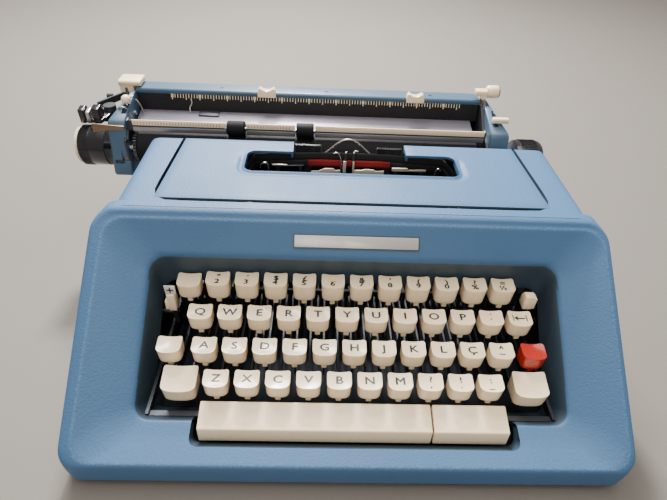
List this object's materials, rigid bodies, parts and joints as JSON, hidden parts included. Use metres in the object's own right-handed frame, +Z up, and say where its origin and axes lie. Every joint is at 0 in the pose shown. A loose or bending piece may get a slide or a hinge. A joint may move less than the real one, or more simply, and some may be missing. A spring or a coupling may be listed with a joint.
{
  "type": "portable typewriter",
  "caption": "Portable manual typewriter with a dished keyboard well, a hinged ribbon cover and a sliding carriage with platen, knobs and return lever.",
  "frame": {"origin": "on the desk, below the middle of the body's footprint", "axes": "+X to the typist's right along the platen, +Y to the back, +Z up; the keyboard faces -Y"},
  "size_m": [0.3925, 0.304, 0.151],
  "materials": {
    "shell_blue": "fine textured enamel",
    "cover_blue": "fine textured enamel",
    "cap_blue": "moulded",
    "dark_pan": "satin",
    "foot_rubber": "matt",
    "platen_rubber": "worn smooth",
    "knob_black": "moulded",
    "screw_steel": "zinc plated",
    "frame_steel": "satin black",
    "lever_steel": "plated",
    "type_steel": "nickel plated",
    "guide_plate": "plated",
    "plate_silver": "satin",
    "bell_brass": "plated",
    "wheel_brass": "machined",
    "clear_plate": "smoked clear",
    "spool_dark": "matt",
    "ribbon_cloth": "inked",
    "scale_black": "satin with cream marks",
    "table_grey": "satin",
    "cream_plastic": "glossy",
    "red_plastic": "glossy"
  },
  "bodies": {
    "machine": {"upper_shell": "shell_blue", "base_pan": "dark_pan", "rubber_feet": "foot_rubber", "base_screws": "screw_steel", "name_plate": "plate_silver", "side_frames": "frame_steel", "carriage_rail": "frame_steel", "key_fulcrum_shaft": "screw_steel", "key_comb": "frame_steel", "spool_cups": "frame_steel", "ribbon": "ribbon_cloth", "bell": "bell_brass", "card_holder": "clear_plate"},
    "cover": {"ribbon_cover": "cover_blue"},
    "basket": {"type_segment": "type_steel", "typebars": "type_steel", "type_guide": "guide_plate"},
    "middle_bar": {"centre_typebar": "type_steel"},
    "vibrator": {"ribbon_vibrator": "lever_steel"},
    "spool_left": {"ribbon_spool_left": "spool_dark"},
    "spool_right": {"ribbon_spool_right": "spool_dark"},
    "mainspring": {"mainspring_drum": "frame_steel"},
    "escapement": {"escapement_wheel": "wheel_brass"},
    "carriage": {"carriage_frame": "frame_steel", "end_cap_left": "cap_blue", "end_cap_right": "cap_blue", "paper_support": "cap_blue", "scale_strip": "scale_black", "paper_table": "table_grey"},
    "platen_unit": {"platen": "platen_rubber", "platen_shaft": "screw_steel", "knob_left": "knob_black", "knob_right": "knob_black"},
    "bail": {"paper_bail": "guide_plate"},
    "bail_wheels": {"bail_rollers": "foot_rubber"},
    "feed": {"feed_rollers": "foot_rubber"},
    "return_lever": {"return_lever": "frame_steel"},
    "left_stop": {"margin_stop_left": "cream_plastic"},
    "right_stop": {"margin_stop_right": "cream_plastic"},
    "paper_release": {"paper_release_lever": "cream_plastic"},
    "release_left": {"carriage_release_left": "cream_plastic"},
    "release_right": {"carriage_release_right": "cream_plastic"},
    "line_space": {"line_space_selector": "cream_plastic"},
    "touch": {"touch_lever": "cream_plastic"},
    "colour": {"ribbon_colour_lever": "cream_plastic"},
    "number_row": {"number_row_caps": "cream_plastic", "number_row_levers": "lever_steel"},
    "upper_row": {"upper_row_caps": "cream_plastic", "upper_row_levers": "lever_steel"},
    "home_row": {"home_row_caps": "cream_plastic", "home_row_levers": "lever_steel"},
    "lower_row": {"lower_row_caps": "cream_plastic", "lower_row_levers": "lever_steel"},
    "shift": {"shift_keys": "cream_plastic"},
    "shift_lock": {"shift_lock_key": "cream_plastic"},
    "tabulator": {"tabulator_key": "red_plastic"},
    "backspace": {"backspace_key": "cream_plastic"},
    "margin_release": {"margin_release_key": "cream_plastic"},
    "space": {"space_bar": "cream_plastic"},
    "half_space": {"half_space_bar": "cream_plastic"}
  },
  "joints": [
    {"name": "number_row_press", "type": "hinge", "parent": "machine", "child": "number_row", "pos_m": [0, 0.06, 0.03], "axis": [1, 0, 0], "range_deg": [0, 4.8], "stiffness_Nm_per_rad": 4, "springref_deg": -5.73},
    {"name": "upper_row_press", "type": "hinge", "parent": "machine", "child": "upper_row", "pos_m": [0, 0.06, 0.03], "axis": [1, 0, 0], "range_deg": [0, 4.4], "stiffness_Nm_per_rad": 4.5, "springref_deg": -5.73},
    {"name": "home_row_press", "type": "hinge", "parent": "machine", "child": "home_row", "pos_m": [0, 0.06, 0.03], "axis": [1, 0, 0], "range_deg": [0, 4], "stiffness_Nm_per_rad": 6, "springref_deg": -5.73},
    {"name": "lower_row_press", "type": "hinge", "parent": "machine", "child": "lower_row", "pos_m": [0, 0.06, 0.03], "axis": [1, 0, 0], "range_deg": [0, 3.6], "stiffness_Nm_per_rad": 5.5, "springref_deg": -5.73},
    {"name": "shift_press", "type": "hinge", "parent": "machine", "child": "shift", "pos_m": [0, 0.06, 0.03], "axis": [1, 0, 0], "range_deg": [0, 3.6], "stiffness_Nm_per_rad": 4, "springref_deg": -5.73},
    {"name": "shift_lock_press", "type": "hinge", "parent": "machine", "child": "shift_lock", "pos_m": [0, 0.06, 0.03], "axis": [1, 0, 0], "range_deg": [0, 3], "stiffness_Nm_per_rad": 0.8, "springref_deg": -5.73},
    {"name": "tabulator_press", "type": "hinge", "parent": "machine", "child": "tabulator", "pos_m": [0, 0.06, 0.03], "axis": [1, 0, 0], "range_deg": [0, 3.6], "stiffness_Nm_per_rad": 0.8, "springref_deg": -5.73},
    {"name": "backspace_press", "type": "hinge", "parent": "machine", "child": "backspace", "pos_m": [0, 0.06, 0.03], "axis": [1, 0, 0], "range_deg": [0, 4], "stiffness_Nm_per_rad": 0.8, "springref_deg": -5.73},
    {"name": "margin_release_press", "type": "hinge", "parent": "machine", "child": "margin_release", "pos_m": [0, 0.06, 0.03], "axis": [1, 0, 0], "range_deg": [0, 4.6], "stiffness_Nm_per_rad": 0.8, "springref_deg": -5.73},
    {"name": "space_bar_press", "type": "hinge", "parent": "machine", "child": "space", "pos_m": [0, 0.06, 0.03], "axis": [1, 0, 0], "range_deg": [0, 2], "stiffness_Nm_per_rad": 2.4, "springref_deg": -5.73},
    {"name": "half_space_bar_press", "type": "hinge", "parent": "machine", "child": "half_space", "pos_m": [0, 0.06, 0.03], "axis": [1, 0, 0], "range_deg": [0, 2], "stiffness_Nm_per_rad": 1.6, "springref_deg": -5.73},
    {"name": "basket_shift", "type": "slide", "parent": "machine", "child": "basket", "axis": [0, 0, -1], "range_m": [0, 0.006], "stiffness_N_per_m": 500, "springref_m": -0.015},
    {"name": "centre_typebar_swing", "type": "hinge", "parent": "basket", "child": "middle_bar", "pos_m": [0, 0.0305, 0.05577], "axis": [-1, 0, 0], "range_deg": [0, 124]},
    {"name": "vibrator_lift", "type": "slide", "parent": "machine", "child": "vibrator", "axis": [0, 0, 1], "range_m": [0, 0.006]},
    {"name": "left_spool_turn", "type": "hinge", "parent": "machine", "child": "spool_left", "pos_m": [-0.098, 0.008, 0.1], "axis": [0, 0, 1], "continuous": true},
    {"name": "right_spool_turn", "type": "hinge", "parent": "machine", "child": "spool_right", "pos_m": [0.098, 0.008, 0.1], "axis": [0, 0, 1], "continuous": true},
    {"name": "cover_open", "type": "hinge", "parent": "machine", "child": "cover", "pos_m": [0, -0.019, 0.121], "axis": [1, 0, 0], "range_deg": [0, 75]},
    {"name": "carriage_travel", "type": "slide", "parent": "machine", "child": "carriage", "axis": [1, 0, 0], "range_m": [-0.095, 0.148]},
    {"name": "mainspring_turn", "type": "hinge", "parent": "machine", "child": "mainspring", "pos_m": [-0.1, 0.112, 0.05], "axis": [0, 1, 0], "range_deg": [-400, 400]},
    {"name": "escapement_turn", "type": "hinge", "parent": "machine", "child": "escapement", "pos_m": [0, 0.099, 0.076], "axis": [0, 1, 0], "range_deg": [-700, 900]},
    {"name": "platen_turn", "type": "hinge", "parent": "carriage", "child": "platen_unit", "pos_m": [0, 0.08, 0.101], "axis": [-1, 0, 0], "continuous": true},
    {"name": "feed_roller_turn", "type": "hinge", "parent": "carriage", "child": "feed", "pos_m": [0, 0.09, 0.0836], "axis": [-1, 0, 0], "continuous": true},
    {"name": "bail_lift", "type": "hinge", "parent": "carriage", "child": "bail", "pos_m": [0, 0.096, 0.103], "axis": [-1, 0, 0], "range_deg": [0, 40]},
    {"name": "bail_roller_turn", "type": "hinge", "parent": "bail", "child": "bail_wheels", "pos_m": [0, 0.076, 0.1223], "axis": [1, 0, 0], "continuous": true},
    {"name": "return_lever_swing", "type": "hinge", "parent": "carriage", "child": "return_lever", "pos_m": [-0.2, 0.104, 0.118], "axis": [0, 0, 1], "range_deg": [0, 22], "stiffness_Nm_per_rad": 0.05, "springref_deg": -11.46},
    {"name": "left_margin_slide", "type": "slide", "parent": "carriage", "child": "left_stop", "axis": [1, 0, 0], "range_m": [-0.095, 0.05]},
    {"name": "right_margin_slide", "type": "slide", "parent": "carriage", "child": "right_stop", "axis": [1, 0, 0], "range_m": [-0.05, 0.045]},
    {"name": "paper_release_pull", "type": "hinge", "parent": "carriage", "child": "paper_release", "pos_m": [0.115, 0.115, 0.118], "axis": [1, 0, 0], "range_deg": [0, 18]},
    {"name": "left_carriage_release", "type": "hinge", "parent": "carriage", "child": "release_left", "pos_m": [-0.187, 0.115, 0.118], "axis": [1, 0, 0], "range_deg": [0, 8], "stiffness_Nm_per_rad": 0.1, "springref_deg": -17.19},
    {"name": "right_carriage_release", "type": "hinge", "parent": "carriage", "child": "release_right", "pos_m": [0.12, 0.092, 0.12], "axis": [1, 0, 0], "range_deg": [0, 10], "stiffness_Nm_per_rad": 0.1, "springref_deg": -11.46},
    {"name": "line_space_select", "type": "hinge", "parent": "carriage", "child": "line_space", "pos_m": [-0.182, 0.092, 0.12], "axis": [1, 0, 0], "range_deg": [-6, 14]},
    {"name": "touch_control", "type": "hinge", "parent": "machine", "child": "touch", "pos_m": [-0.119, -0.055, 0.05], "axis": [-1, 0, 0], "range_deg": [0, 10]},
    {"name": "ribbon_colour_select", "type": "hinge", "parent": "machine", "child": "colour", "pos_m": [0.117, -0.055, 0.05], "axis": [-1, 0, 0], "range_deg": [0, 10]}
  ],
  "couplings": [
    {"joint": "basket_shift", "follows": "shift_press", "m_per_rad": 0.095493},
    {"joint": "centre_typebar_swing", "follows": "home_row_press", "ratio": 31},
    {"joint": "vibrator_lift", "follows": "home_row_press", "m_per_rad": 0.085944},
    {"joint": "mainspring_turn", "follows": "carriage_travel", "rad_per_m": 43.478},
    {"joint": "escapement_turn", "follows": "carriage_travel", "rad_per_m": 100},
    {"joint": "feed_roller_turn", "follows": "platen_turn", "ratio": -3.875},
    {"joint": "right_spool_turn", "follows": "left_spool_turn", "ratio": 1}
  ]
}
